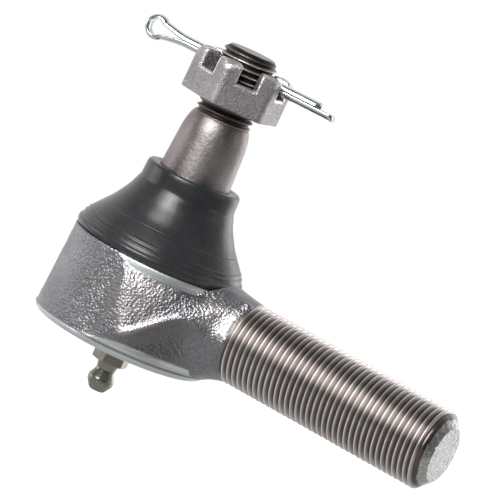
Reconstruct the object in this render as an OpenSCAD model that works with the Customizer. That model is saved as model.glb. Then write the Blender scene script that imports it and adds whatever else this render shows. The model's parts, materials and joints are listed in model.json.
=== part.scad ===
// Outer tie rod end with a greased ball joint, a threaded shank and a castle nut.
// The stud's axis is +Z and the shank's axis runs along +X through the ball's centre.
// The origin lies on the stud's axis, in the gauge plane at the wide end of its taper.

/* [Ball and seats] */
// Diameter of the ball
ball_d = 25; // [24.4:0.1:25.4]
// Height of the taper's gauge plane above the ball's centre
ball_to_gauge = 29.5; // [29:0.5:33]
// Depth of the flat under the ball below the ball's centre
ball_flat_depth = 9; // [8.5:0.1:9.4]
// Radial gap between the ball and its seats
ball_clearance = 0.05; // [0.03:0.01:0.1]

/* [Stud] */
// Diameter of the neck between the ball and the taper
neck_d = 13.2; // [12:0.1:13.4]
// Diameter of the taper in its gauge plane
gauge_d = 17.7; // [17:0.1:18]
// Length over which the taper's diameter falls by one unit
taper_ratio = 8; // [7:0.5:12]
// Length of the taper above the gauge plane
taper_length = 11.5; // [11:0.5:12.5]
// Nominal diameter of the stud's thread
stud_thread_d = 14; // [12:0.5:14]
// Height of the stud's top above the ball's centre
stud_top = 61.8; // [61:0.2:68]

/* [Shank] */
// Nominal diameter of the shank's thread
shank_d = 20; // [18:0.5:20.4]
// Distance from the stud's axis to the shank's end
shank_reach = 86; // [75:1:110]
// Length of the threaded stretch
shank_thread_length = 52.5; // [40:0.5:53]
// Diameter of the flat face at the shank's end
shank_face_d = 14.8; // [12:0.2:16]

/* [Housing] */
// Diameter of the housing at the shoulder under the boot
shoulder_d = 41.2; // [40.6:0.2:42]
// Diameter of the housing near its crimped rim
rim_d = 44.8; // [43:0.2:46]
// Height of the shoulder above the ball's centre
shoulder_height = 8.4; // [8.2:0.1:8.6]
// Depth of the rim below the ball's centre
rim_depth = 14.3; // [14.1:0.1:15]
// Diameter of the bore that holds the seats
bore_d = 34; // [33:0.2:35]

/* [Dust boot] */
// Height of the boot's top above the ball's centre
boot_top = 29.3; // [28.5:0.1:29.4]
// Outer diameter of the boot's base lip
boot_lip_d = 42.4; // [41.8:0.1:43]
// Outer diameter of the boot's collar at its top
boot_collar_d = 23.8; // [23:0.1:25]

/* [Castle nut and cotter pin] */
// Width of the nut across its flats
nut_af = 22; // [21:0.5:24]
// Full height of the nut
nut_height = 11; // [10.5:0.1:12]
// Height of the nut's seat above the ball's centre
nut_seat = 48; // [47.5:0.1:48.5]
// Width of each slot
slot_width = 4.8; // [3.6:0.1:5]
// Depth of each slot below the nut's top
slot_depth = 4.5; // [4.3:0.1:5]
// Diameter of the closed cotter pin
pin_d = 2.9; // [2.4:0.1:3]
// Angle of the cotter pin about the stud's axis, from the shank's direction
pin_angle = 5; // [-30:1:30]

/* [Grease fitting] */
// Width of the fitting's hexagon across its flats
fitting_af = 8; // [7.5:0.5:9]
// Diameter of the fitting's coupling head
fitting_head_d = 6.5; // [6.3:0.1:6.7]
// Depth of the fitting's tip below the ball's centre
fitting_tip = 27; // [26.8:0.1:27.5]

/* [Hidden] */
$fn = 96;
cut = 1;                 // how far a cutting solid runs past the face that it opens
fit_gap = 0.05;          // radial gap of parts that are pressed or screwed together

ball_r = ball_d / 2;
socket_r = ball_r + ball_clearance;
bore_r = bore_d / 2;
neck_r = neck_d / 2;
stud_r = stud_thread_d / 2;
shank_r = shank_d / 2;

// Housing heights, from the ball's centre
seat_shoulder = 6.6;     // inner shoulder that the upper seat bears on
boss_top = 12.4;         // top of the boss that the boot is pressed on
boss_r = 18.6;
mouth_low_r = 11.2;      // radius of the stud's opening at the inner shoulder
mouth_high_r = 15.6;     // and at the boss's top, wide enough for the stud's full swing
lip_thickness = 1.2;     // rim that is rolled over the cover
cover_thickness = 1.8;
cover_r = 18.3;
lip_opening_r = 16.6;
cover_low = -rim_depth + lip_thickness;
cover_high = cover_low + cover_thickness;
shoulder_r = shoulder_d / 2;
rim_r = rim_d / 2;
rim_round = 2.8;         // height and width of the rounding below the rim
shoulder_bevel = 0.6;
spot_face_r = 21.9;      // machined step that clears the boot's lip
neck_root_x = 13;        // cone that blends the housing into the shank
neck_root_r = 12.6;
neck_end_x = 27;
neck_end_r = shank_r + 0.2;
shank_chamfer = 3;
shank_thread_end = shank_reach - shank_chamfer;
shank_thread_start = shank_thread_end - shank_thread_length;
relief_r = shank_r - 0.5; // runout groove behind the thread
relief_length = 1.6;

// Seats and preload spring
seat_r = bore_r - fit_gap;
seat_opening_r = 10.8;
upper_seat_low = 0.4;
lower_seat_high = -0.4;
lower_seat_low = -7.4;
spring_outer_r = 16.2;
spring_inner_r = 11.6;
spring_sheet = 1.1;

// Stud heights, from the ball's centre
neck_top = 15;
flare_top = 19.5;
taper_top = ball_to_gauge + taper_length;
shoulder_top = taper_top + 3.2;
stud_chamfer = 1.5;
pin_hole_r = 1.75;
pin_height = nut_seat + nut_height - slot_depth + 2.45;

// Boot
boot_sheet = 1.7;
ring_low = shoulder_height + 0.5;
ring_high = boss_top - 0.2;
ring_sheet = 0.9;
boot_gap = 0.08;         // running gap between the boot's collar and the stud
neck_ring_low = 25.4;
neck_ring_high = 27.4;
neck_ring_sheet = 1;
lip_r = boot_lip_d / 2;
collar_r = boot_collar_d / 2;
collar_low = 23.6;       // foot of the collar's inner face
bell_low = 13.4;         // foot of the bell's inner face

// Nut and pin
nut_chamfer_angle = 30;
nut_land_r = nut_af / 2 - 0.4;
nut_corner_r = nut_af / sqrt(3);
nut_bore_r = stud_r + 0.08;
pin_r = pin_d / 2;
eye_wire_r = 0.75;
eye_ring_r = 2.4;
eye_tip = -27.8;
short_leg_end = 21;
long_leg_end = 25;

// Grease fitting depths, from the ball's centre
dome_low = -15;
dome_high = -12.7;
dome_outer_r = 10;
dome_inner_r = 7.6;
tapping_r = 3;
hex_low = -19.6;
hex_turn = 38;
neck_low = -21.9;
fitting_neck_r = 2.4;
head_r = fitting_head_d / 2;
head_low = 2 - fitting_tip;
head_high = 3.4 - fitting_tip;
passage_r = 1.35;
check_ball_r = 1.2;
inlet_r = 0.85;
inlet_depth = 0.4;
check_ball_z = -fitting_tip + inlet_depth + sqrt(pow(check_ball_r, 2) - pow(inlet_r, 2)) + 0.03;
spring_coils = 5;
spring_wire_r = 0.16;
spring_coil_r = 1;
spring_top_gap = 2.2;    // room that the fitting's staked end takes above the spring
spring_steps = 16;       // rings in one coil
spring_sides = 8;

// Radius of the stud's taper at a height above the ball's centre
function taper_r(h) = gauge_d / 2 - (h - ball_to_gauge) / (2 * taper_ratio);

// Moves a piece that is drawn about the ball's centre into the part's frame
module from_ball() {
    translate([0, 0, -ball_to_gauge]) children();
}

// Cylinder or cone along +X from x0 to x1
module bar_x(x0, x1, r0, r1) {
    translate([x0, 0, 0]) rotate([0, 90, 0]) cylinder(h = x1 - x0, r1 = r0, r2 = r1);
}

// Disc or cone about Z from z0 to z1
module disc(z0, z1, r0, r1) {
    translate([0, 0, z0]) cylinder(h = z1 - z0, r1 = r0, r2 = r1);
}

module shank() {
    difference() {
        bar_x(neck_root_x, neck_end_x, neck_root_r, neck_end_r);
        disc(shoulder_height, shoulder_height + neck_root_r, spot_face_r, spot_face_r);
    }
    bar_x(neck_end_x, shank_thread_start - relief_length, neck_end_r, neck_end_r);
    bar_x(shank_thread_start - relief_length, shank_thread_start, relief_r, relief_r);
    bar_x(shank_thread_start, shank_thread_end, shank_r, shank_r);
    bar_x(shank_thread_end, shank_reach, shank_r, shank_face_d / 2);
}

module socket_housing() {
    color([0.56, 0.56, 0.58]) from_ball() difference() {
        union() {
            rotate_extrude() polygon([
                [0, -rim_depth], [rim_r - rim_round, -rim_depth],
                [rim_r - 0.3 * rim_round, 0.3 * rim_round - rim_depth], [rim_r, rim_round - rim_depth],
                [shoulder_r, shoulder_height - shoulder_bevel],
                [shoulder_r - shoulder_bevel, shoulder_height],
                [boss_r, shoulder_height], [boss_r, boss_top], [0, boss_top]]);
            shank();
        }
        disc(-rim_depth - cut, cover_low, lip_opening_r, lip_opening_r);
        disc(cover_low, cover_high, cover_r + fit_gap, cover_r + fit_gap);
        disc(cover_high, seat_shoulder, bore_r, bore_r);
        disc(seat_shoulder, boss_top, mouth_low_r, mouth_high_r);
        disc(boss_top, boss_top + cut, mouth_high_r, mouth_high_r);
    }
}

module upper_ball_seat() {
    color([0.87, 0.85, 0.78]) from_ball() difference() {
        disc(upper_seat_low, seat_shoulder, seat_r, seat_r);
        sphere(r = socket_r);
        disc(0, seat_shoulder + cut, seat_opening_r, seat_opening_r);
    }
}

module lower_ball_seat() {
    color([0.87, 0.85, 0.78]) from_ball() difference() {
        disc(lower_seat_low, lower_seat_high, seat_r - fit_gap, seat_r - fit_gap);
        sphere(r = socket_r);
    }
}

module preload_spring() {
    top = lower_seat_low - fit_gap;
    bottom = cover_high + fit_gap;
    color([0.35, 0.36, 0.4]) from_ball() rotate_extrude() polygon([
        [spring_inner_r, top], [spring_inner_r, top - spring_sheet],
        [spring_outer_r, bottom], [spring_outer_r, bottom + spring_sheet]]);
}

module cover_plate() {
    color([0.62, 0.62, 0.63]) from_ball() difference() {
        union() {
            disc(cover_low, cover_high, cover_r, cover_r);
            disc(dome_low, cover_low, dome_outer_r - 2, dome_outer_r);
        }
        disc(dome_high, cover_high + cut, dome_inner_r, dome_inner_r);
        disc(dome_low - cut, cover_high, tapping_r, tapping_r);
    }
}

module grease_fitting_body() {
    color([0.72, 0.66, 0.46]) from_ball() difference() {
        union() {
            disc(dome_low - cut, dome_high - fit_gap, tapping_r - fit_gap, tapping_r - fit_gap);
            translate([0, 0, hex_low]) rotate([0, 0, hex_turn])
                cylinder(h = dome_low - hex_low, r = fitting_af / sqrt(3), $fn = 6);
            disc(neck_low - cut, hex_low + cut, fitting_neck_r, fitting_neck_r);
            disc(-fitting_tip, head_low, head_r - 1.2, head_r);
            disc(head_low, head_high, head_r, head_r);
            disc(head_high, neck_low, head_r, fitting_neck_r);
        }
        disc(-fitting_tip - cut, dome_high, inlet_r, inlet_r);
        disc(-fitting_tip + inlet_depth, dome_high, passage_r, passage_r);
    }
}

module grease_fitting_ball() {
    color([0.8, 0.8, 0.82]) from_ball() translate([0, 0, check_ball_z]) sphere(r = check_ball_r);
}

// Ring of points round a coil's wire at turn t, and the tube that joins such rings
function coil_ring(t, low, high) = let (turn = 360 * t * spring_coils)
    [for (s = [0 : spring_sides - 1]) let (a = 360 * s / spring_sides,
        r = spring_coil_r + spring_wire_r * cos(a))
        [r * cos(turn), r * sin(turn), low + (high - low) * t + spring_wire_r * sin(a)]];

module grease_fitting_spring() {
    low = check_ball_z + check_ball_r + spring_wire_r + fit_gap;
    high = dome_high - spring_top_gap;
    rings = spring_coils * spring_steps;
    points = [for (k = [0 : rings]) each coil_ring(k / rings, low, high)];
    sides = [for (k = [0 : rings - 1], s = [0 : spring_sides - 1])
        let (a = k * spring_sides + s, b = k * spring_sides + (s + 1) % spring_sides)
        [a, b, b + spring_sides, a + spring_sides]];
    caps = [[for (s = [spring_sides - 1 : -1 : 0]) s],
            [for (s = [0 : spring_sides - 1]) rings * spring_sides + s]];
    color([0.6, 0.6, 0.62]) from_ball() polyhedron(points, concat(sides, caps));
}

module ball_stud() {
    color([0.52, 0.5, 0.49]) from_ball() difference() {
        union() {
            intersection() {
                sphere(r = ball_r);
                disc(-ball_flat_depth, ball_r, ball_r + cut, ball_r + cut);
            }
            disc(0, neck_top, neck_r, neck_r);
            disc(neck_top, flare_top, neck_r, taper_r(flare_top));
            disc(flare_top, taper_top, taper_r(flare_top), taper_r(taper_top));
            disc(taper_top, shoulder_top, taper_r(taper_top), stud_r);
            disc(shoulder_top, stud_top - stud_chamfer, stud_r, stud_r);
            disc(stud_top - stud_chamfer, stud_top, stud_r, stud_r - stud_chamfer);
        }
        translate([0, 0, pin_height]) rotate([0, 0, pin_angle])
            bar_x(-stud_r - cut, stud_r + cut, pin_hole_r, pin_hole_r);
    }
}

module dust_boot() {
    seat = shoulder_height + fit_gap;
    ring_r = boss_r + ring_sheet + fit_gap;
    neck_groove_r = taper_r(neck_ring_low) + neck_ring_sheet + 2 * boot_gap;
    outer = [[lip_r - 0.5, seat], [lip_r, seat + 0.7], [lip_r, 10.4], [lip_r - 0.8, 11.8],
             [18.7, 14], [15.9, 17.8], [13.6, 21.4], [collar_r + 0.5, 24.4], [collar_r, boot_top]];
    collar = [[taper_r(boot_top) + boot_gap, boot_top],
              [taper_r(neck_ring_high) + boot_gap, neck_ring_high],
              [neck_groove_r, neck_ring_high], [neck_groove_r, neck_ring_low],
              [taper_r(neck_ring_low) + boot_gap, neck_ring_low],
              [taper_r(collar_low) + boot_gap, collar_low]];
    bell = [[taper_r(collar_low) + 1, 22.6], [11.9, 21], [14.4, 17.2], [18.7 - boot_sheet, bell_low]];
    base = [[boss_r + fit_gap, boss_top + 0.1], [ring_r, boss_top + 0.1],
            [ring_r, ring_low - fit_gap], [boss_r + fit_gap, ring_low - fit_gap], [boss_r + fit_gap, seat]];
    color([0.16, 0.17, 0.18]) from_ball() rotate_extrude() polygon(concat(outer, collar, bell, base));
}

// Flat band about Z
module band(low, high, inner_r, sheet) {
    difference() {
        disc(low, high, inner_r + sheet, inner_r + sheet);
        disc(low - cut, high + cut, inner_r, inner_r);
    }
}

module boot_base_ring() {
    color([0.5, 0.5, 0.52]) from_ball() band(ring_low, ring_high, boss_r + fit_gap / 2, ring_sheet);
}

module boot_neck_ring() {
    color([0.5, 0.5, 0.52]) from_ball()
        band(neck_ring_low + fit_gap, neck_ring_high - fit_gap, taper_r(neck_ring_low) + 0.1, neck_ring_sheet);
}

module castle_nut() {
    slope = tan(nut_chamfer_angle);
    color([0.6, 0.6, 0.62]) from_ball() translate([0, 0, nut_seat]) rotate([0, 0, pin_angle])
    difference() {
        intersection() {
            rotate([0, 0, 30]) cylinder(h = nut_height, r = nut_corner_r, $fn = 6);
            cylinder(h = nut_height + nut_land_r * slope, r1 = nut_land_r + nut_height / slope, r2 = 0);
        }
        translate([0, 0, -cut]) cylinder(h = nut_height + 2 * cut, r = nut_bore_r);
        for (turn = [0 : 60 : 120]) rotate([0, 0, turn])
            translate([-nut_af, -slot_width / 2, nut_height - slot_depth])
                cube([2 * nut_af, slot_width, slot_depth + cut]);
    }
}

module cotter_pin() {
    color([0.74, 0.75, 0.76]) from_ball() translate([0, 0, pin_height]) rotate([0, 0, pin_angle]) {
        difference() {
            bar_x(eye_tip + 2 * eye_ring_r + eye_wire_r, long_leg_end, pin_r, pin_r);
            translate([short_leg_end, -pin_d, 0]) cube([pin_d * 3, pin_d * 2, pin_d]);
        }
        translate([eye_tip + eye_ring_r + eye_wire_r, 0, 0]) rotate([90, 0, 0])
            rotate_extrude() translate([eye_ring_r, 0]) circle(r = eye_wire_r, $fn = 24);
    }
}

socket_housing();
upper_ball_seat();
lower_ball_seat();
preload_spring();
cover_plate();
grease_fitting_body();
grease_fitting_ball();
grease_fitting_spring();
ball_stud();
dust_boot();
boot_base_ring();
boot_neck_ring();
castle_nut();
cotter_pin();
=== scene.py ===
"""A greased tie rod end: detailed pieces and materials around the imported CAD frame."""
import json
import math

import bmesh
import bpy
import numpy as np
from mathutils import Matrix, Vector


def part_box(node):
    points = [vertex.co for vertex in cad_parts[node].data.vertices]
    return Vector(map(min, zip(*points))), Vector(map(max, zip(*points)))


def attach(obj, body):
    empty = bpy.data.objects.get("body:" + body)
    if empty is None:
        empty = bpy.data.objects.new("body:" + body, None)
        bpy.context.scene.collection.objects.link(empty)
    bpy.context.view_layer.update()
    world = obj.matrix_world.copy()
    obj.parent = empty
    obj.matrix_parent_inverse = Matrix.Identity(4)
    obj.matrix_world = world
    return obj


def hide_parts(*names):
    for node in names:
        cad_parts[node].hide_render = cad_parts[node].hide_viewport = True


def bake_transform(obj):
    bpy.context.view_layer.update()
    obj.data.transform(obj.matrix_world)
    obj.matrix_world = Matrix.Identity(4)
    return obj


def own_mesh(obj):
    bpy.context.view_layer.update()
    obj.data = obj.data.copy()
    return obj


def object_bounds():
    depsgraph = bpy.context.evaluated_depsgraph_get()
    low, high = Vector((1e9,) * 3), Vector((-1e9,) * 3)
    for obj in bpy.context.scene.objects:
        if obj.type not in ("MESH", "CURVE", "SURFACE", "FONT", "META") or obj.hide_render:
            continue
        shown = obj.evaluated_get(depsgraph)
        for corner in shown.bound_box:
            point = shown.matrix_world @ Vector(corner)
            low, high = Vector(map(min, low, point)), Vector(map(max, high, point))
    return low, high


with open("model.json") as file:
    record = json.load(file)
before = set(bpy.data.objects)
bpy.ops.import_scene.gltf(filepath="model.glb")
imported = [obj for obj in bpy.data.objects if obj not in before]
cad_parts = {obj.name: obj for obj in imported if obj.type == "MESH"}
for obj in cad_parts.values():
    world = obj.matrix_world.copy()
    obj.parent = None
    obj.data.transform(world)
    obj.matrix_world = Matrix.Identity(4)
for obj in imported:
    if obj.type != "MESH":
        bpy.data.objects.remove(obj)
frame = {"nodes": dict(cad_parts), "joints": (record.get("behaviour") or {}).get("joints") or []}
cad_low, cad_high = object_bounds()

# Lengths are in millimetres about the ball's centre, +Z along the stud and +X along the shank,
# until place() turns them into metres in the row frame.
MM = 0.001
JOINTS = {joint["name"]: joint for joint in frame["joints"]}
CENTRE = np.array(JOINTS["swing_along_shank"]["pos_m"])


def box_mm(node):
    """Lowest and highest corner of a CAD node, in millimetres about the ball's centre."""
    low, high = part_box(node)
    return (np.array(low) - CENTRE) / MM, (np.array(high) - CENTRE) / MM


HOUSING_LOW, HOUSING_HIGH = box_mm("socket_housing")
BOOT_LOW, BOOT_HIGH = box_mm("dust_boot")
NUT_LOW, NUT_HIGH = box_mm("castle_nut")
STUD_LOW, STUD_HIGH = box_mm("ball_stud")
PIN_LOW, PIN_HIGH = box_mm("cotter_pin")
COVER_LOW, COVER_HIGH = box_mm("cover_plate")
FITTING_LOW, FITTING_HIGH = box_mm("grease_fitting_body")
NECK_RING_LOW, NECK_RING_HIGH = box_mm("boot_neck_ring")
BASE_RING_LOW, BASE_RING_HIGH = box_mm("boot_base_ring")
DISC_LOW, DISC_HIGH = box_mm("preload_spring")
COIL_LOW, COIL_HIGH = box_mm("grease_fitting_spring")

# ---- shape tools


def place(points):
    """Millimetres about the ball's centre as metres in the row frame."""
    return np.asarray(points) * MM + CENTRE


def smooth_max(a, b, size):
    """The larger of two distances, with the edge between them rounded over about size."""
    near = np.maximum(size - np.abs(a - b), 0) / size
    return np.maximum(a, b) + near * near * size / 4


def smooth_min(a, b, size):
    return -smooth_max(-a, -b, size)


def ease(x, low, high):
    """0 below low, 1 above high and a smooth step between."""
    t = np.clip((x - low) / (high - low), 0, 1)
    return t * t * (3 - 2 * t)


def lattice(x, y, z, seed):
    """A repeatable value from -1 to 1 for each whole-number point."""
    mix = (x.astype(np.uint32) * np.uint32(0x8DA6B343)) ^ (y.astype(np.uint32) * np.uint32(0xD8163841))
    mix = mix ^ (z.astype(np.uint32) * np.uint32(0xCB1AB31F)) ^ np.uint32(seed * 7919 + 17)
    mix = (mix ^ (mix >> np.uint32(13))) * np.uint32(0x5BD1E995)
    mix = (mix ^ (mix >> np.uint32(15))) * np.uint32(0x27D4EB2D)
    return (mix >> np.uint32(8)).astype(float) / 2**23 - 1


def noise(points, cell, seed=0):
    """Smooth noise from -1 to 1 whose grain is one cell wide."""
    scaled = np.asarray(points) / cell + 1000.0
    whole = np.floor(scaled).astype(np.int64)
    part = scaled - whole
    weight = part * part * (3 - 2 * part)
    total = np.zeros(len(scaled))
    for dx in (0, 1):
        for dy in (0, 1):
            for dz in (0, 1):
                share = np.abs(1 - dx - weight[:, 0]) * np.abs(1 - dy - weight[:, 1])
                share = share * np.abs(1 - dz - weight[:, 2])
                total += share * lattice(whole[:, 0] + dx, whole[:, 1] + dy, whole[:, 2] + dz, seed)
    return total


def slope_of(distance, points, reach=0.02):
    """Gradient of a distance function at points."""
    slope = np.empty_like(points)
    for axis in range(3):
        step = np.zeros(3)
        step[axis] = reach
        slope[:, axis] = (distance(points + step) - distance(points - step)) / (2 * reach)
    return slope


SETTLE_ROUNDS = 3                 # times that a surface's points are moved onto it


def isosurface(distance, low, high, step):
    """Points and quads of the surface where distance(points) is zero, with one point per crossed cell."""
    low, high = np.array(low, float), np.array(high, float)
    counts = np.ceil((high - low) / step).astype(int) + 1
    axes = [low[k] + step * np.arange(counts[k]) for k in range(3)]
    grid = np.stack(np.meshgrid(*axes, indexing="ij"), -1)
    value = distance(grid.reshape(-1, 3)).reshape(counts)
    cells = counts - 1
    total, number = np.zeros((*cells, 3)), np.zeros(cells)
    crossings = []
    for axis in range(3):
        others = [k for k in range(3) if k != axis]
        first = np.take(value, np.arange(counts[axis] - 1), axis)
        second = np.take(value, np.arange(1, counts[axis]), axis)
        at = np.argwhere((first < 0) != (second < 0))
        keep = np.all([(at[:, k] > 0) & (at[:, k] < counts[k] - 1) for k in others], axis=0)
        at = at[keep]
        a, b = first[tuple(at.T)], second[tuple(at.T)]
        point = low + step * at
        point[:, axis] += step * a / (a - b)
        for db in (0, 1):
            for dc in (0, 1):
                cell = at.copy()
                cell[:, others[0]] -= db
                cell[:, others[1]] -= dc
                np.add.at(total, tuple(cell.T), point)
                np.add.at(number, tuple(cell.T), 1)
        crossings.append((others, at, a < 0, axis))
    index = np.full(cells, -1)
    used = np.argwhere(number > 0)
    index[tuple(used.T)] = np.arange(len(used))
    points = total[tuple(used.T)] / number[tuple(used.T)][:, None]
    quads = []
    for others, at, leaving, axis in crossings:
        corners = []
        for db, dc in ((1, 1), (0, 1), (0, 0), (1, 0)):
            cell = at.copy()
            cell[:, others[0]] -= db
            cell[:, others[1]] -= dc
            corners.append(index[tuple(cell.T)])
        quad = np.stack(corners, 1)
        turned = leaving if axis != 1 else ~leaving
        quad[~turned] = quad[~turned][:, ::-1]
        quads.append(quad)
    for _ in range(SETTLE_ROUNDS):
        slope = slope_of(distance, points)
        length = np.maximum((slope**2).sum(1), 0.05)
        move = slope * (distance(points) / length)[:, None]
        size = np.linalg.norm(move, axis=1, keepdims=True)
        points = points - move * np.minimum(1, 0.5 * step / np.maximum(size, 1e-9))
    return points, np.concatenate(quads)


def outline_distance(across, along, outline):
    """Signed distance to a closed outline of (across, along) points, below zero inside it."""
    corners = np.array(outline, float)
    best = np.full(len(across), np.inf)
    inside = np.zeros(len(across), bool)
    for (ax, ay), (bx, by) in zip(corners, np.roll(corners, -1, 0)):
        ex, ey, wx, wy = bx - ax, by - ay, across - ax, along - ay
        t = np.clip((wx * ex + wy * ey) / (ex * ex + ey * ey), 0, 1)
        best = np.minimum(best, (wx - ex * t) ** 2 + (wy - ey * t) ** 2)
        if ay != by:
            inside ^= ((ay > along) != (by > along)) & (across < ax + ex * (along - ay) / ey)
    return np.where(inside, -1, 1) * np.sqrt(best)


def rounded(corners, radius, closed=True, steps=5):
    """An outline whose corners are eased over radius."""
    corners = [np.array(c, float) for c in corners]
    last = len(corners)
    result = []
    for k, here in enumerate(corners):
        if not closed and k in (0, last - 1):
            result.append(here)
            continue
        before, after = corners[k - 1], corners[(k + 1) % last]
        back, ahead = before - here, after - here
        a = here + back * min(0.45, radius / np.linalg.norm(back))
        b = here + ahead * min(0.45, radius / np.linalg.norm(ahead))
        for t in np.linspace(0, 1, steps):
            result.append((1 - t) ** 2 * a + 2 * t * (1 - t) * here + t * t * b)
    return np.array(result)


def spaced(line, gap, closed=False):
    """A line of points with more points put in where they are farther than gap apart."""
    line = np.array(line, float)
    ends = np.roll(line, -1, 0) if closed else line[1:]
    result = []
    for a, b in zip(line, ends):
        n = max(1, math.ceil(np.linalg.norm(b - a) / gap))
        result += [a + (b - a) * t / n for t in range(n)]
    if not closed:
        result.append(line[-1])
    return np.array(result)


def lathe(profile, sides, closed=True):
    """Points and faces of (radius, height) points turned about Z. An open profile ends on the axis."""
    profile = np.array(profile, float)
    turn = 2 * math.pi * np.arange(sides) / sides
    rows = len(profile)
    points, starts = [], []
    for r, z in profile:
        starts.append(len(points))
        if r < 1e-6:
            points.append((0, 0, z))
        else:
            points += [(r * math.cos(t), r * math.sin(t), z) for t in turn]
    faces = []
    for k in range(rows if closed else rows - 1):
        a, b = starts[k], starts[(k + 1) % rows]
        point_a, point_b = profile[k][0] < 1e-6, profile[(k + 1) % rows][0] < 1e-6
        for s in range(sides):
            t = (s + 1) % sides
            ring_a = [a] if point_a else [a + s, a + t]
            ring_b = [b] if point_b else [b + t, b + s]
            faces.append(ring_a + ring_b)
    return np.array(points), faces


# Phase of each row of one thread turn, and its depth from the crest (0) to the root (1)
THREAD_ROWS = [(-0.06, 0.0), (0.06, 0.0), (0.22, 0.48), (0.39, 0.96), (0.5, 1.0), (0.61, 0.96),
               (0.78, 0.48)]


def threaded_rod(start, end, pitch, depth, limit, sides, fade):
    """Points and faces of a threaded rod along +Z whose radius never passes limit(z). The groove is cut
    away to nothing over the length fade behind its start."""
    turns = math.ceil((end - start) / pitch) + 2
    rows = [(k + phase, share) for k in range(turns) for phase, share in THREAD_ROWS]
    points = []
    for turn, share in rows:
        for s in range(sides):
            angle = 2 * math.pi * s / sides
            z = min(max(start + pitch * (turn - 1 + s / sides), start), end)
            cut = depth * share * float(ease(z, start, start + fade))
            radius = min(limit(z), limit(start + fade) - cut)
            points.append((radius * math.cos(angle), radius * math.sin(angle), z))
    count = len(rows)
    faces = []
    for k in range(count - 1):
        for s in range(sides - 1):
            a = k * sides + s
            faces.append((a, a + 1, a + sides + 1, a + sides))
    ahead = len(THREAD_ROWS)
    for k in range(count - 1 - ahead):
        a, b = k * sides + sides - 1, (k + ahead) * sides
        faces.append((a, b, b + sides, a + sides))
    return np.array(points), faces


def tube_faces(rings, sides):
    """Quads between each ring of points and the next."""
    faces = []
    for k in range(rings - 1):
        for s in range(sides):
            a, b = k * sides + s, k * sides + (s + 1) % sides
            faces.append((a, b, b + sides, a + sides))
    return faces


def capped(points, faces, ring, centre, rings):
    """Closes a ring of points with smaller rings round a centre point."""
    points = list(points)
    sides = len(ring)
    edge = [np.array(points[i]) for i in ring]
    centre = np.array(centre, float)
    before = list(ring)
    for k in range(1, rings):
        now = len(points)
        points += [centre + (e - centre) * (1 - k / rings) for e in edge]
        for s in range(sides):
            t = (s + 1) % sides
            faces.append((before[s], before[t], now + t, now + s))
        before = list(range(now, now + sides))
    points.append(centre)
    for s in range(sides):
        faces.append((before[s], before[(s + 1) % sides], len(points) - 1))
    return points, faces


def build(name, points, faces, merge=1e-4):
    """A mesh object in metres with its coinciding points merged and its faces turned outward."""
    mesh = bpy.data.meshes.new(name)
    mesh.from_pydata([tuple(p) for p in place(points)], [], [tuple(int(i) for i in f) for f in faces])
    piece = bpy.data.objects.new(name, mesh)
    bpy.context.scene.collection.objects.link(piece)
    tidy = bmesh.new()
    tidy.from_mesh(mesh)
    bmesh.ops.remove_doubles(tidy, verts=tidy.verts, dist=merge * MM)
    bmesh.ops.dissolve_degenerate(tidy, edges=tidy.edges, dist=merge * MM)
    bmesh.ops.recalc_face_normals(tidy, faces=tidy.faces)
    tidy.to_mesh(mesh)
    tidy.free()
    mesh.shade_smooth()
    return piece


def combine(base, other, operation):
    """Joins other to base (UNION) or cuts it away (DIFFERENCE), and removes other."""
    change = base.modifiers.new(operation, "BOOLEAN")
    change.operation, change.object, change.solver = operation, other, "MANIFOLD"
    bpy.context.view_layer.update()
    seen = base.evaluated_get(bpy.context.evaluated_depsgraph_get())
    old, base.data = base.data, bpy.data.meshes.new_from_object(seen)
    base.modifiers.clear()
    bpy.data.meshes.remove(old)
    bpy.data.objects.remove(other)
    base.data.shade_smooth()
    return base


def points_of(piece):
    """A piece's points in millimetres about the ball's centre."""
    flat = np.empty(len(piece.data.vertices) * 3)
    piece.data.vertices.foreach_get("co", flat)
    return (flat.reshape(-1, 3) - CENTRE) / MM


def normals_of(piece):
    flat = np.empty(len(piece.data.vertices) * 3)
    piece.data.vertices.foreach_get("normal", flat)
    return flat.reshape(-1, 3)


def move_points(piece, points):
    piece.data.vertices.foreach_set("co", place(points).ravel())
    piece.data.update()


def note(piece, name, values):
    """Stores one number for each point of a piece, which its material reads by name."""
    mask = piece.data.attributes.new(name, "FLOAT", "POINT")
    mask.data.foreach_set("value", np.asarray(values, np.float32))


def fit_out(piece, body, node, slot):
    """Gives a piece the material named by slot, puts it under its body and hides the CAD node that it
    stands for.
    """
    piece.data.materials.clear()
    piece.data.materials.append(MATERIALS[slot])
    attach(piece, body)
    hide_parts(node)


# ---- fineness of the meshes

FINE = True
HOUSING_STEP = 0.33 if FINE else 0.5
NUT_STEP = 0.2 if FINE else 0.35
FITTING_STEP = 0.12 if FINE else 0.2
SHANK_SIDES = 144 if FINE else 72
STUD_SIDES = 120 if FINE else 72
BOOT_SIDES = 160 if FINE else 72
COVER_SIDES = 144 if FINE else 72

# ---- housing

RIM_R = -HOUSING_LOW[0]           # crimped rim
RIM_Z = HOUSING_LOW[2]
BOSS_TOP = HOUSING_HIGH[2]
SHANK_END = HOUSING_HIGH[0]
BOSS_R = 18.6
SHOULDER_Z = BOOT_LOW[2] - 0.05   # machined face that the boot sits on
TURNED_R = 21.1                   # machined band just below the boot's lip
TURNED_Z = 6.2
RIM_BAND_Z = -10.4                # top of the rim on the shank's side
RIM_LOW_TOP = -12.5               # and away from it
RIM_STEP = 0.5                    # how far the rim stands out
SHADOW_LINE_RISE = 1.9                   # height of the painted shadow line above the rim's foot
PIP = (28.0, -4.6, 8.6)           # forging pip on the neck
PIP_R = 1.3
BORE_R = 17.0
COVER_SEAT_R = 18.35
CRIMP_R = 16.6
SEAT_SHOULDER_Z = 6.6
MOUTH = ((SEAT_SHOULDER_Z, BOSS_TOP), (11.2, 15.6))            # height, and the opening's radius there
SHANK_R = 10.0
SHANK_PITCH = 1.5
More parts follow.
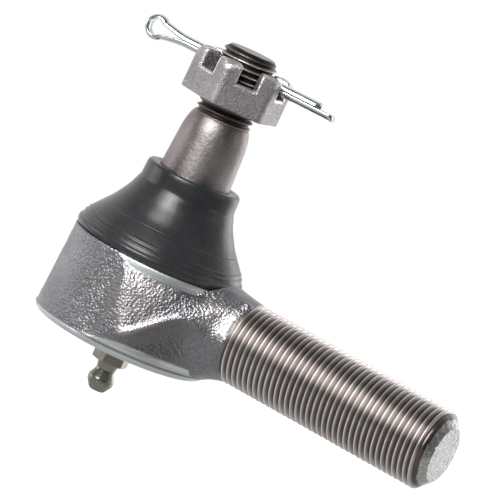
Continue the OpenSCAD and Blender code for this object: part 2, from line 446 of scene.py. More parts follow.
SHANK_THREAD_DEPTH = 0.92
SHANK_THREAD_START = 28.6
SHANK_THREAD_END = SHANK_END - 3.0
SHANK_FACE_R = 6.9
SHANK_ROOT = 4.0                  # how far the thread's rod reaches into the neck
SHANK_RUNOUT = 5.5
SHANK_FACE_RINGS = 20
NECK_END_X = 29.6
COVER_SHEET = 1.8
BORE_FOOT_Z = COVER_HIGH[2] - 1
WEB_TURN = math.radians(60)       # the web's flank faces this far round from the shank
WEB_TOP_REACH = 21.2              # flank's distance from the stud's axis at the turned band
WEB_DRAFT = 0.2                   # how fast the flank leans out going down to the ridge
WEB_SHOULDER = 0.1                # how fast it falls in again above WEB_SHOULDER_Z
WEB_SHOULDER_Z = 2.0
WEB_UNDERCUT = 0.5                # and back in below it
WEB_LEAST = 20.3
WEB_SIDE = 22.25
WEB_TO_NECK = ((12, 20, 27), (29, 15.5, 9.3))     # x, and the web's reach from the shank's axis there
WEB_TO_SIDE = ((0, 3, 9), (19, 21.2, 26))         # x, and its reach from the stud's axis there
WEB_BLEND = 2.0                   # fillet between the web and the housing's side
NECK_BLEND = 3.0                  # and between the neck and both of them
NECK_SIZE = ((13.0, 24.0, NECK_END_X), (12.6, 10.8, 10.1))     # x, and the neck's radius there
NECK_FLATS = ((66, 0.955), (118, 0.965))          # angle from the top, and share of the radius
RIM_ROUND = 2.6
RIDGE_LOW_Z = -6.9                # parting ridge on the housing's side
RIDGE_HIGH_Z = 0.9                # and on the neck


def ridge_height(x):
    """Height of the forging's parting ridge along the shank's direction."""
    dip = 0.8 * np.exp(-(((x - 9.5) / 3.0) ** 2))
    return RIDGE_LOW_Z + (RIDGE_HIGH_Z - RIDGE_LOW_Z) * ease(x, 9.0, 20.5) - dip


def web_flank(x, y, z):
    """Distance to the drafted flank that runs from the housing's side to the neck."""
    above = z - ridge_height(x)
    ridge_reach = WEB_TOP_REACH + WEB_DRAFT * (TURNED_Z - ridge_height(x))
    lip = 0.8 * np.exp(-np.abs(above) / 1.2)
    ridge_reach = ridge_reach - WEB_SHOULDER * np.maximum(z - WEB_SHOULDER_Z, 0) ** 2
    lower = np.maximum(ridge_reach + WEB_UNDERCUT * above, WEB_LEAST)
    reach = np.where(above > 0, ridge_reach - WEB_DRAFT * above, lower) + lip
    return (x * math.cos(WEB_TURN) + np.abs(y) * math.sin(WEB_TURN) - reach) * 0.93


def neck(x, y, z):
    """Distance to the forged neck, which has a flat on each of its four corners."""
    size = np.interp(x, *NECK_SIZE)
    body = (np.hypot(y, z) - size) * 0.985
    for angle, share in NECK_FLATS:
        c, s = math.cos(math.radians(angle)), math.sin(math.radians(angle))
        body = smooth_max(body, np.abs(y) * s + z * c - size * share, 0.7)
    return np.maximum(smooth_max(body, x - NECK_END_X, 0.9), 5 - x)


def band_floor(x, r):
    """Height of the machined band's lower edge, which climbs under the boot away from the shank."""
    return TURNED_Z + (SHOULDER_Z + 1 - TURNED_Z) * ease(-x / np.maximum(r, 1), -0.29, 0.17)


def rim_top(x):
    """Height of the crimped rim's upper edge, which is lower away from the shank."""
    return RIM_LOW_TOP + (RIM_BAND_Z - RIM_LOW_TOP) * ease(x, -2, 11)


def web(x, y, z):
    """Distance to the web that joins the housing's side to the neck."""
    body = smooth_max(web_flank(x, y, z), np.abs(y) - WEB_SIDE, 1.2)
    body = smooth_max(smooth_max(body, z - TURNED_Z + 0.1, 0.8), RIM_Z + 1 - z, 1.5)
    body = smooth_max(body, np.hypot(y, z) - np.interp(x, *WEB_TO_NECK), 1.5)
    body = smooth_max(body, np.hypot(x, y) - np.interp(x, *WEB_TO_SIDE), 0.8)
    return np.maximum(body, x - NECK_END_X + 1)


def turned_band(x, r, z, body):
    """The body with the machined band and boss under the boot cut into it."""
    cut = np.maximum(band_floor(x, r) - z, r - TURNED_R - 0.3)
    body = smooth_max(body, -cut, 0.3)
    band = np.maximum(smooth_max(r - TURNED_R, z - SHOULDER_Z, 0.3), -z)
    body = smooth_min(body, band, 0.15)
    return np.minimum(body, np.maximum(np.maximum(r - BOSS_R, z - BOSS_TOP), -z))


def socket_space(r, z):
    """Distance to the space inside: the stud's mouth, the seats' bore and the cover's seat and rim."""
    mouth = (r - np.interp(z, *MOUTH)) * 0.8
    bore = np.maximum(r - BORE_R, z - SEAT_SHOULDER_Z)
    seat = np.maximum(r - COVER_SEAT_R, np.maximum(z - COVER_HIGH[2], COVER_HIGH[2] - COVER_SHEET - z))
    bore = np.minimum(np.maximum(bore, BORE_FOOT_Z - z), np.minimum(mouth, seat))
    return np.minimum(bore, np.where(z < BORE_FOOT_Z, r - CRIMP_R, mouth))


def forging(points):
    """Distance to the forged housing and neck, without the threaded shank."""
    x, y, z = points.T
    r = np.hypot(x, y)
    flank = (r - np.interp(z, [-11.5, TURNED_Z], [RIM_R - RIM_STEP, TURNED_R - 0.15])) * 0.995
    flank = smooth_max(flank, z - SHOULDER_Z, 0.9)
    outer = smooth_min(flank, web(x, y, z), WEB_BLEND)
    outer = smooth_min(outer, neck(x, y, z), NECK_BLEND)
    outer = smooth_min(outer, np.linalg.norm(points - np.array(PIP), axis=1) - PIP_R, 0.8)
    outer = smooth_min(outer, smooth_max(r - RIM_R, z - rim_top(x), 0.5), 0.25)
    outer = smooth_max(outer, RIM_Z - z, RIM_ROUND)
    outer = smooth_max(outer, np.abs(y) - RIM_R + 0.05, 0.3)
    return smooth_max(turned_band(x, r, z, outer), -socket_space(r, z), 0.5)


def forged_relief(points):
    """How far the forging's skin stands out, in millimetres: pebbles on gentle swells."""
    return 0.06 * noise(points, 1.3, 3) + 0.09 * noise(points, 4.5, 5)


def along_x(points):
    """Points drawn along +Z, laid along +X."""
    return np.asarray(points)[:, [2, 1, 0]] * np.array([1, 1, -1])


def closed_rod(start, end, pitch, depth, limit, sides, fade, end_rings):
    """Points and faces of a threaded rod with closed ends."""
    points, faces = threaded_rod(start, end, pitch, depth, limit, sides, fade)
    last = list(range(len(points) - sides, len(points)))
    points, faces = capped(points, faces, list(range(sides)), (0, 0, start), 2)
    points, faces = capped(points, faces, last, (0, 0, end), end_rings)
    return np.array(points), faces


def socket_housing():
    points, faces = isosurface(forging, (-24, -24, -16), (32, 24, 14), HOUSING_STEP)
    body = build("forged_housing", points, faces)
    chamfer = (SHANK_R - SHANK_FACE_R) / (SHANK_END - SHANK_THREAD_END)

    def limit(z):
        return min(SHANK_R, SHANK_FACE_R + (SHANK_END - z) * chamfer)

    rod, rod_faces = closed_rod(SHANK_THREAD_START - SHANK_ROOT, SHANK_END, SHANK_PITCH, SHANK_THREAD_DEPTH,
                                limit, SHANK_SIDES, SHANK_RUNOUT, SHANK_FACE_RINGS)
    return combine(body, build("shank_thread", along_x(rod), rod_faces), "UNION")


# ---- stud, nut and pin

TAPER_GAUGE_R = 8.85
TAPER_TOP_Z = 41.0
GAUGE_Z = -CENTRE[2] / MM
STUD_RELIEF_Z = 44.7              # foot of the thread
STUD_ROOT_Z = 43.2                # hidden start of the thread's rod
STUD_CORE_Z = 46.0                # and hidden end of the turned body
STUD_NECK_R = 6.6
STUD_NECK_Z = 15.0
STUD_FLARE_Z = 19.5
STUD_TOP = STUD_HIGH[2]
STUD_R = 7.0
STUD_PITCH = 1.5
STUD_THREAD_DEPTH = 0.85
STUD_CHAMFER = 1.5
BALL_R = STUD_HIGH[0]
PIN_HOLE_R = 1.75
PIN_Z = (PIN_LOW[2] + PIN_HIGH[2]) / 2
PIN_TURN = math.atan2(-JOINTS["pin_pull"]["axis"][1], -JOINTS["pin_pull"]["axis"][0])
NUT_AF = 22.0
SLOT_WIDTH = 4.8
SLOT_DEPTH = 4.5
NUT_BORE_R = STUD_R + 0.08
NUT_LAND_R = NUT_AF / 2 - 0.4     # of the flat top, inside the chamfer
NUT_CORNER = 1.1
SLOPE_30, COSINE_30 = 0.577, 0.866


def taper_r(z):
    """Radius of the stud's taper, which loses one part in sixteen of its height."""
    return TAPER_GAUGE_R - (z - GAUGE_Z) / 16


def turned(points, angle):
    """Points turned about Z."""
    c, s = math.cos(angle), math.sin(angle)
    x, y, z = np.asarray(points).T
    return np.stack([c * x - s * y, s * x + c * y, z], 1)


def stud_profile():
    """Outline of the stud from its flat bottom to inside its thread."""
    flat = STUD_LOW[2]
    start = math.acos(-flat / BALL_R)
    stop = math.pi - math.asin(STUD_NECK_R / BALL_R)
    ball = [(BALL_R * math.sin(t), -BALL_R * math.cos(t)) for t in np.linspace(start, stop, 40)]
    core_r = STUD_R - 0.75
    stem = [(STUD_NECK_R, STUD_NECK_Z), (taper_r(STUD_FLARE_Z), STUD_FLARE_Z),
            (taper_r(TAPER_TOP_Z), TAPER_TOP_Z), (STUD_R + 0.15, STUD_RELIEF_Z - 0.5),
            (core_r, STUD_RELIEF_Z), (core_r, STUD_CORE_Z)]
    stem = rounded([ball[-1]] + stem, 2.2, closed=False, steps=7)[1:]
    profile = spaced([(BALL_R * math.sin(start), flat)] + ball + list(stem), 0.8)
    return [(0, flat)] + [tuple(p) for p in profile] + [(0, STUD_CORE_Z)]


def ball_stud():
    points, faces = lathe(stud_profile(), STUD_SIDES, closed=False)
    body = build("turned_stud", points, faces)

    def limit(z):
        return min(STUD_R, STUD_TOP - z + STUD_R - STUD_CHAMFER)

    rod, rod_faces = closed_rod(STUD_ROOT_Z, STUD_TOP, STUD_PITCH, STUD_THREAD_DEPTH, limit, STUD_SIDES,
                                0.5, 8)
    combine(body, build("stud_thread", rod, rod_faces), "UNION")
    reach = STUD_R + 2
    hole = [(0, -reach), (PIN_HOLE_R, -reach), (PIN_HOLE_R, reach), (0, reach)]
    points, faces = lathe(hole, 48, closed=False)
    points = turned(along_x(points), PIN_TURN) + np.array([0, 0, PIN_Z])
    return combine(body, build("pin_hole", points, faces), "DIFFERENCE")


def nut_distance(points):
    """Distance to the castle nut, drawn about its own seat and turned with the pin."""
    x, y, z = points.T
    r = np.hypot(x, y)
    height = NUT_HIGH[2] - NUT_LOW[2]
    shape, slots = None, np.full(len(points), np.inf)
    for turn in (0, 60, 120):
        c, s = math.cos(math.radians(turn)), math.sin(math.radians(turn))
        side = np.abs(x * c + y * s) - NUT_AF / 2
        shape = smooth_max(shape, side, NUT_CORNER) if turn else side
        slot = np.maximum(np.abs(y * c - x * s) - SLOT_WIDTH / 2, height - SLOT_DEPTH - z)
        slots = np.minimum(slots, slot)
    shape = smooth_max(shape, ((r - NUT_LAND_R) * SLOPE_30 + z - height) * COSINE_30, 0.9)
    shape = smooth_max(shape, z - height, 0.5)
    shape = smooth_max(shape, -z, 0.3)
    shape = smooth_max(shape, -slots, 0.75)
    return smooth_max(shape, NUT_BORE_R - r, 0.45)


def castle_nut():
    reach = NUT_AF / 2 + 3
    points, faces = isosurface(nut_distance, (-reach, -reach, -1), (reach, reach, 12.2), NUT_STEP)
    slope = slope_of(nut_distance, points)
    slope /= np.maximum(np.linalg.norm(slope, axis=1, keepdims=True), 1e-6)
    dents = np.clip(noise(points, 1.6, 21) - 0.2, 0, 1) * 0.07 + 0.012 * noise(points, 0.5, 22)
    points = points - slope * dents[:, None]
    points = turned(points, PIN_TURN) + np.array([0, 0, NUT_LOW[2]])
    return build("hex_castle_nut", points, faces)


PIN_WIRE_R = 1.45
PIN_LEG_GAP = 0.04
EYE_R = 2.05                      # of the strip's flat face, about the eye's centre
EYE_STRIP = 1.15
SHORT_LEG_END = 21.0
EYE_BLEND = 7.0
EYE_OPEN = math.radians(38)       # half of the angle at which the strip leaves its circle
EYE_SHOULDER = -0.45              # where the legs' closing curve would start, as a share of its length
EYE_POINTS = 49


def eye_route():
    """Centre line of the pin's flat face as (x, z), from the upper leg round the eye to the lower leg."""
    tip = PIN_LOW[0] / math.cos(PIN_TURN) + 0.03
    centre = tip + EYE_STRIP + EYE_R
    arc = np.linspace(EYE_OPEN, 2 * math.pi - EYE_OPEN, EYE_POINTS)
    eye = [(centre + EYE_R * math.cos(t), EYE_R * math.sin(t)) for t in arc]
    start, lift = centre + EYE_R * math.cos(EYE_OPEN), EYE_R * math.sin(EYE_OPEN)
    side = []
    for t in np.linspace(0, 1, 25)[1:]:
        share = (1 - ease(t, EYE_SHOULDER, 1)) / (1 - ease(0, EYE_SHOULDER, 1))
        side.append((start + EYE_BLEND * t, PIN_LEG_GAP + (lift - PIN_LEG_GAP) * share))
    return side[::-1], eye, side


def cotter_pin():
    upper, eye, lower = eye_route()
    leg = np.arange(upper[0][0] + 0.5, 99, 1.0)
    long_end = PIN_HIGH[0] / math.cos(PIN_TURN)
    top = [(x, PIN_LEG_GAP) for x in leg if x < SHORT_LEG_END - 0.2] + [(SHORT_LEG_END, PIN_LEG_GAP)]
    low = [(x, -PIN_LEG_GAP) for x in leg if x < long_end - 0.6] + [(long_end - 0.4, -PIN_LEG_GAP)]
    route = np.array(top[::-1] + upper + eye + [(x, -z) for x, z in lower] + low)
    tangent = np.gradient(route, axis=0)
    tangent /= np.linalg.norm(tangent, axis=1, keepdims=True)
    outward = np.stack([tangent[:, 1], -tangent[:, 0]], 1)
    middle = EYE_POINTS // 2
    from_centre = route - np.array([eye[middle][0] + EYE_R, 0])
    outward *= np.where((outward * from_centre).sum(1) < 0, -1, 1)[:, None]
    outward[: len(top)] = (0, 1)
    outward[-len(low):] = (0, -1)
    flat = ease(np.abs(np.arange(len(route)) - len(top) - len(upper) - middle), 18, 50)
    arc = np.linspace(0, math.pi, 15)
    points = []
    for (x, z), (ox, oz), share in zip(route, outward, flat):
        depth = EYE_STRIP + (PIN_WIRE_R - EYE_STRIP) * share
        width = PIN_WIRE_R + 0.12 * (1 - share)
        for t in arc:
            h = depth * math.sin(t) ** 0.9
            points.append((x + ox * h, width * math.cos(t), z + oz * h))
    sides = len(arc)
    points = np.array(points)
    points[:sides, 0] += 0.9 * (points[:sides, 2] - PIN_LEG_GAP) - 1.2
    points[-sides:, 0] += -0.45 * (points[-sides:, 2] + PIN_LEG_GAP) - 0.3
    faces = [tuple(range(sides)), tuple(range(len(points) - sides, len(points)))[::-1]]
    faces += tube_faces(len(route), sides)
    points = turned(points, PIN_TURN) + np.array([0, 0, PIN_Z])
    return build("split_pin", points, faces)


# ---- boot

BOOT_LIP_R = BOOT_HIGH[0]
BOOT_TOP = BOOT_HIGH[2]
BOOT_SEAT = BOOT_LOW[2]
COLLAR_R = 11.9
BOOT_SPLIT_Z = 16.0               # ring at which the boot's lower and upper halves meet
RIB_HEIGHTS = (11.75, 12.75)
BASE_RING_TOP = 11.3
BOOT_STILL_Z = 11.0               # ends of the spans listed with the boot's halves, which nothing reads
BOOT_TURNED_Z = 23.0


def boot_outer():
    corners = [(BOOT_LIP_R - 0.5, BOOT_SEAT), (BOOT_LIP_R, BOOT_SEAT + 0.6), (BOOT_LIP_R, 10.2),
               (BOOT_LIP_R - 0.65, 11.1), (19.4, 13.1), (15.75, 17.6), (13.35, 21.6), (12.35, 24.3),
               (12.0, 24.9), (COLLAR_R, BOOT_TOP - 0.5), (COLLAR_R - 0.5, BOOT_TOP)]
    line = spaced(rounded(corners, 1.2, closed=False, steps=6), 0.3)
    push = sum(0.22 * np.exp(-(((line[:, 1] - z) / 0.2) ** 2)) for z in RIB_HEIGHTS)
    groove = -0.22 * np.exp(-(((line[:, 1] - 10.75) / 0.22) ** 2))
    line[:, 0] += push + groove
    return line


def boot_inner():
    low, high = NECK_RING_LOW[2] - 0.05, NECK_RING_HIGH[2] + 0.05
    corners = [(BOSS_R + 0.05, BOOT_SEAT), (BOSS_R + 0.05, 8.85), (19.55, 8.85), (19.55, BOSS_TOP + 0.1),
               (BOSS_R + 0.05, BOSS_TOP + 0.1), (18.1, 13.0), (15.0, 17.3), (13.8, 19.1), (12.2, 21.2),
               (taper_r(23.6) + 1, 22.6), (taper_r(23.6) + 0.08, 23.6), (taper_r(low) + 0.08, low),
               (10.4, low), (10.4, high), (taper_r(high) + 0.08, high),
               (taper_r(BOOT_TOP) + 0.08, BOOT_TOP)]
    return spaced(rounded(corners, 0.4, closed=False, steps=3), 0.6)


def base_ring():
    """The rolled ring inside the boot's lip."""
    low, high, inner, outer = BASE_RING_LOW[2], BASE_RING_TOP, BOSS_R + 0.05, BASE_RING_HIGH[0] - 0.08
    corners = [(inner, low), (outer, low), (outer, high), (inner, high)]
    points, faces = lathe(spaced(rounded(corners, 0.25, steps=4), 0.4, closed=True), BOOT_SIDES)
    return build("base_ring", points, faces)


def cut_line(line, z, above):
    """The stretch of a rising line above or below a height, ending exactly on it."""
    radius = float(np.interp(z, line[:, 1], line[:, 0]))
    kept = [tuple(p) for p in line if (p[1] > z + 0.02 if above else p[1] < z - 0.02)]
    return [(radius, z)] + kept if above else kept + [(radius, z)]


def dust_boot():
    halves = []
    for name, above in (("boot_lower_half", False), ("boot_upper_half", True)):
        outer = cut_line(boot_outer(), BOOT_SPLIT_Z, above)
        inner = cut_line(boot_inner(), BOOT_SPLIT_Z, above)
        points, faces = lathe(outer + inner[::-1], BOOT_SIDES)
        halves.append(build(name, points, faces))
    return halves


# ---- cover and grease fitting

FITTING_AF = 8.0
HEX_TURN = math.radians(38)
HEX_LOW = -19.6
HEX_HIGH = -15.0
NIPPLE_R = 3.25
COVER_R = 18.3
TAPPING_R = 3.05


def cover_plate():
    low, high = COVER_LOW[2], COVER_HIGH[2]
    rim, bead, roof = high - COVER_SHEET, high - COVER_SHEET + 0.25, low + COVER_SHEET + 0.1
    corners = [(TAPPING_R, low), (7.9, low), (9.8, rim), (12.5, rim), (13.6, bead), (15.2, bead),
               (15.8, rim), (COVER_R, rim), (COVER_R, high), (12, high), (8.2, high), (7.2, roof),
               (TAPPING_R, roof)]
    points, faces = lathe(spaced(rounded(corners, 0.7, steps=5), 0.6, closed=True), COVER_SIDES)
    return build("crimped_cover", points, faces)


def fitting_distance(points):
    """Distance to the grease fitting: hexagon, neck, coupling head and threaded root."""
    x, y, z = points.T
    r = np.hypot(x, y)
    tip = FITTING_LOW[2] + 0.06
    hexagon = np.full(len(points), -np.inf)
    for turn in (0, 60, 120):
        angle = HEX_TURN + math.radians(30 + turn)
        side = np.abs(x * math.cos(angle) + y * math.sin(angle)) - FITTING_AF / 2
        hexagon = side if turn == 0 else smooth_max(hexagon, side, 0.25)
    hexagon = smooth_max(hexagon, ((r - FITTING_AF / 2 - 0.25) * SLOPE_30 + HEX_LOW - z) * COSINE_30, 0.25)
    hexagon = smooth_max(hexagon, np.maximum(HEX_LOW - z, z - HEX_HIGH), 0.25)
    head = [(0, tip), (1.75, tip), (2.15, tip + 0.35), (NIPPLE_R - 0.1, tip + 1.95), (NIPPLE_R, tip + 2.3),
            (NIPPLE_R, tip + 3.1), (NIPPLE_R - 0.15, tip + 3.5), (2.35, tip + 5.0), (2.3, tip + 5.6),
            (2.75, HEX_LOW), (2.75, HEX_LOW + 0.4), (0, HEX_LOW + 0.4)]
    head = outline_distance(r, z, head) - 0.05
    root = np.maximum(r - 2.95, np.maximum(HEX_HIGH - 0.5 - z, z - FITTING_HIGH[2]))
    shape = smooth_min(smooth_min(hexagon, head, 0.2), root, 0.2)
    dimple = outline_distance(r, z, [(-1, tip - 1), (1.25, tip - 1), (1.15, tip), (0.85, tip + 0.4),
                                     (1.35, tip + 0.5), (1.35, 0), (-1, 0)])
    return smooth_max(shape, -dimple, 0.1)


def grease_fitting():
    reach = FITTING_AF / 2 + 1.2
    points, faces = isosurface(fitting_distance, (-reach, -reach, FITTING_LOW[2] - 0.6),
                               (reach, reach, FITTING_HIGH[2] + 0.6), FITTING_STEP)
    return build("grease_nipple", points, faces)


# ---- springs

DISC_SHEET = 1.1
DISC_INNER_R = 11.6
COIL_TURNS = 5
COIL_WIRE_R = 0.16


def disc_spring():
    low, high, outer = DISC_LOW[2], DISC_HIGH[2], DISC_HIGH[0]
    corners = [(DISC_INNER_R, high), (DISC_INNER_R, high - DISC_SHEET), (outer, low),
               (outer, low + DISC_SHEET)]
    points, faces = lathe(spaced(rounded(corners, 0.25, steps=4), 0.6, closed=True), COVER_SIDES)
    return build("disc_spring", points, faces)


def check_spring():
    """The grease fitting's coil spring, whose wire ends are closed."""
    steps, sides = COIL_TURNS * 24, 10
    radius = COIL_HIGH[0] - COIL_WIRE_R
    points = []
    for k in range(steps + 1):
        turn, share = 2 * math.pi * COIL_TURNS * k / steps, k / steps
        height = COIL_LOW[2] + COIL_WIRE_R + (COIL_HIGH[2] - COIL_LOW[2] - 2 * COIL_WIRE_R) * share
        for s in range(sides):
            around = 2 * math.pi * s / sides
            r = radius + COIL_WIRE_R * math.cos(around)
            points.append((r * math.cos(turn), r * math.sin(turn), height + COIL_WIRE_R * math.sin(around)))
    faces = [tuple(range(sides))[::-1], tuple(range(steps * sides, steps * sides + sides))]
    faces += tube_faces(steps + 1, sides)
    return build("check_spring", points, faces)


# ---- materials


class Look:
    """A material whose Principled shader is driven by nodes in the piece's own coordinates."""

    def __init__(self, name, **settings):
        self.material = bpy.data.materials.new(name)
        self.material.use_nodes = True
        self.tree = self.material.node_tree
        self.shader = self.tree.nodes["Principled BSDF"]
        self.bump_from = None
        for key, value in settings.items():
            self.shader.inputs[key.replace("_", " ")].default_value = value
        self.where = self.add("ShaderNodeTexCoord").outputs["Object"]

    def add(self, kind, inputs=(), **properties):
        made = self.tree.nodes.new(kind)
        for key, value in properties.items():
            setattr(made, key, value)
        for key, value in dict(inputs).items():
            self.feed(made.inputs[key], value)
        return made

    def feed(self, socket, value):
        if isinstance(value, bpy.types.NodeSocket):
            self.tree.links.new(value, socket)
        else:
            socket.default_value = value

    def grain(self, size, detail=2.0, stretch=(1, 1, 1), roughness=0.5):
        """Noise whose lumps are about size millimetres wide, times stretch along each axis."""
        scale = [1 / (MM * size * k) for k in stretch]
        where = self.add("ShaderNodeMapping", {"Vector": self.where, "Scale": scale}, vector_type="POINT")
        return self.add("ShaderNodeTexNoise", {"Vector": where.outputs[0], "Scale": 1.0, "Detail": detail,
                                               "Roughness": roughness}).outputs["Fac"]

    def spread(self, value, low, high, to_low=0.0, to_high=1.0):
        """A value taken from low..high to to_low..to_high."""
        return self.add("ShaderNodeMapRange", {"Value": value, "From Min": low, "From Max": high,
                                               "To Min": to_low, "To Max": to_high}).outputs["Result"]

    def pebbles(self, size, stretch=(1, 1, 1)):
        """Rounded cells about size millimetres wide: 1 at their middles and lower between them."""
        scale = [1 / (MM * size * k) for k in stretch]
        where = self.add("ShaderNodeMapping", {"Vector": self.where, "Scale": scale}, vector_type="POINT")
        inputs = {"Vector": where.outputs[0], "Scale": 1.0, "Smoothness": 0.5}
        cells = self.add("ShaderNodeTexVoronoi", inputs, feature="SMOOTH_F1")
        return self.spread(cells.outputs["Distance"], 0.0, 0.7, 1.0, 0.0)

    def mask(self, name):
        return self.add("ShaderNodeAttribute", attribute_name=name).outputs["Fac"]

    def mix(self, share, a, b):
        """Colour a where share is 0 and b where it is 1."""
        made = self.add("ShaderNodeMix", data_type="RGBA")
        for key, value in ((0, share), (6, a), (7, b)):
            if key and not isinstance(value, bpy.types.NodeSocket):
                value = (*value, 1)
            self.feed(made.inputs[key], value)
        return made.outputs[2]

    def blend(self, share, a, b):
        """Number a where share is 0 and b where it is 1."""
        made = self.add("ShaderNodeMix", data_type="FLOAT")
        for key, value in ((0, share), (2, a), (3, b)):
            self.feed(made.inputs[key], value)
        return made.outputs[0]

    def maths(self, operation, a, b):
        made = self.add("ShaderNodeMath", operation=operation)
        self.feed(made.inputs[0], a)
        self.feed(made.inputs[1], b)
        return made.outputs[0]

    def bump(self, height, depth, strength=1.0):
        """Raises the surface by up to depth millimetres where height is 1."""
        made = self.add("ShaderNodeBump", {"Height": height, "Distance": depth * MM, "Strength": strength})
        if self.bump_from:
            self.feed(made.inputs["Normal"], self.bump_from)
        self.bump_from = made.outputs["Normal"]

    def done(self, colour, roughness):
        self.feed(self.shader.inputs["Base Color"], colour)
        self.feed(self.shader.inputs["Roughness"], roughness)
        if self.bump_from:
            self.feed(self.shader.inputs["Normal"], self.bump_from)
        return self.material


def forged_steel():
    look = Look("forged_steel", Metallic=1.0)
    pebble, grit, cloud = look.pebbles(0.62), look.grain(0.35, 3), look.grain(14, 4)
    machined, threaded, groove = look.mask("machined"), look.mask("threaded"), look.mask("groove")
    skin = look.mix(look.spread(cloud, 0.35, 0.65), (0.27, 0.26, 0.27), (0.34, 0.34, 0.38))
    skin = look.mix(look.spread(pebble, 0.5, 0.2, 0, 0.45), skin, (0.17, 0.16, 0.165))
    skin = look.mix(look.spread(grit, 0.55, 0.75, 0, 0.5), skin, (0.55, 0.54, 0.56))
    # painted shade: darkens the skin below the parting ridge
    skin = look.mix(look.spread(look.mask("shade"), 0, 1, 0, 0.8), skin, (0.2, 0.19, 0.185))
    # painted highlight: lightens the parting ridge's lip, the flank and the neck's upper facets
    skin = look.mix(look.mask("painted_highlight"), skin, (0.68, 0.65, 0.64))
    end = look.mix(look.spread(grit, 0.4, 0.6), (0.3, 0.31, 0.3), (0.6, 0.6, 0.59))
    skin = look.mix(look.mask("end"), skin, end)
    lines = look.grain(0.22, 2, (60, 60, 1))
    bright = look.mix(look.spread(lines, 0.35, 0.7), (0.56, 0.59, 0.59), (0.80, 0.83, 0.83))
    flank = look.mix(look.spread(cloud, 0.4, 0.6), (0.50, 0.44, 0.42), (0.58, 0.53, 0.51))
    # painted shade darkens the thread's flanks towards its roots, and a painted highlight whitens its
    # crests
    flank = look.mix(look.spread(groove, 0.35, 0.95), flank, (0.13, 0.11, 0.105))
    crest = look.mix(look.spread(groove, 0.0, 0.12), (0.95, 0.93, 0.92), flank)
    # painted shadow: a thin dark line round the rim near its foot
    bright = look.mix(look.mask("painted_shadow_line"), bright, (0.1, 0.09, 0.09))
    colour = look.mix(threaded, look.mix(machined, skin, bright), crest)
    rough = look.spread(cloud, 0.3, 0.7, 0.44, 0.36)
    rough = look.blend(machined, rough, look.spread(lines, 0.3, 0.7, 0.42, 0.54))
    rough = look.blend(threaded, rough, look.spread(grit, 0.3, 0.7, 0.28, 0.38))
    soft = look.blend(machined, 1.0, 0.12)
    soft = look.blend(look.mask("end"), look.blend(threaded, soft, 0.05), 0.3)
    look.bump(look.maths("MULTIPLY", pebble, soft), 0.12)
    look.bump(look.maths("MULTIPLY", grit, soft), 0.09)
    look.bump(look.maths("MULTIPLY", lines, machined), 0.01)
    return look.done(colour, rough)


def turned_steel():
    look = Look("turned_steel", Metallic=1.0)
    rings, speck = look.grain(0.18, 2, (80, 80, 1)), look.grain(0.5, 3)
    cloud, groove = look.grain(7, 4, (1, 1, 1.4)), look.mask("groove")
    skin = look.mix(look.spread(cloud, 0.35, 0.65), (0.22, 0.195, 0.19), (0.34, 0.315, 0.31))
    skin = look.mix(look.spread(speck, 0.36, 0.28, 0, 0.5), skin, (0.1, 0.08, 0.075))
    # painted highlight lightens the thread's crests, and painted shade darkens its roots nearly to black
    thread = look.mix(look.spread(groove, 0.0, 0.25), (0.62, 0.58, 0.56), (0.26, 0.22, 0.2))
    thread = look.mix(look.spread(groove, 0.35, 0.9), thread, (0.035, 0.03, 0.03))
    colour = look.mix(look.mask("threaded"), skin, thread)
    rough = look.spread(cloud, 0.3, 0.7, 0.38, 0.5)
    look.bump(rings, 0.012)
    look.bump(look.grain(1.1, 4, (1, 1, 0.6)), 0.08)
    look.bump(speck, 0.03)
    return look.done(colour, rough)


def nut_steel():
    look = Look("nut_steel", Metallic=1.0)
    grit, cloud = look.grain(0.3, 3), look.grain(5, 4)
    edge = look.mask("edge")
    skin = look.mix(look.spread(cloud, 0.35, 0.65), (0.35, 0.325, 0.33), (0.44, 0.41, 0.42))
    skin = look.mix(look.spread(grit, 0.48, 0.3), skin, (0.2, 0.18, 0.18))
    skin = look.mix(look.spread(grit, 0.54, 0.7, 0, 0.6), skin, (0.62, 0.6, 0.62))
    # painted highlight along the nut's outer edges
    colour = look.mix(edge, skin, (0.82, 0.8, 0.8))
    rough = look.blend(edge, look.spread(grit, 0.3, 0.7, 0.58, 0.46), 0.3)
    look.bump(grit, 0.12)
    look.bump(look.pebbles(0.7), 0.05)
    return look.done(colour, rough)


def zinc_wire():
    look = Look("zinc_wire", Metallic=1.0)
    draw, cloud = look.grain(0.12, 2, (40, 1, 1)), look.grain(3, 3)
    colour = look.mix(look.spread(cloud, 0.3, 0.7), (0.62, 0.66, 0.67), (0.76, 0.79, 0.79))
    rough = look.spread(draw, 0.3, 0.7, 0.14, 0.26)
    look.bump(draw, 0.006)
    return look.done(colour, rough)


def plated_fitting():
    look = Look("plated_fitting", Metallic=1.0)
    cloud, rings = look.grain(2.2, 3), look.grain(0.12, 2, (40, 40, 1))
    colour = look.mix(look.spread(cloud, 0.35, 0.65), (0.32, 0.28, 0.22), (0.28, 0.30, 0.25))
    rough = look.spread(cloud, 0.3, 0.7, 0.2, 0.32)
    look.bump(rings, 0.008)
    return look.done(colour, rough)


def boot_rubber():
    look = Look("boot_rubber", Specular_IOR_Level=0.5)
    fine, cloud, scuff = look.grain(0.25, 3), look.grain(9, 4), look.grain(1.6, 4, (1, 1, 2.2))
    colour = look.mix(look.spread(cloud, 0.3, 0.7), (0.022, 0.0225, 0.0245), (0.034, 0.035, 0.0375))
    colour = look.mix(look.spread(scuff, 0.62, 0.8), colour, (0.04, 0.04, 0.043))
    rough = look.blend(look.spread(scuff, 0.3, 0.9), look.spread(cloud, 0.3, 0.7, 0.22, 0.28), 0.36)
    look.bump(fine, 0.02)
    look.bump(scuff, 0.03)
    return look.done(colour, rough)


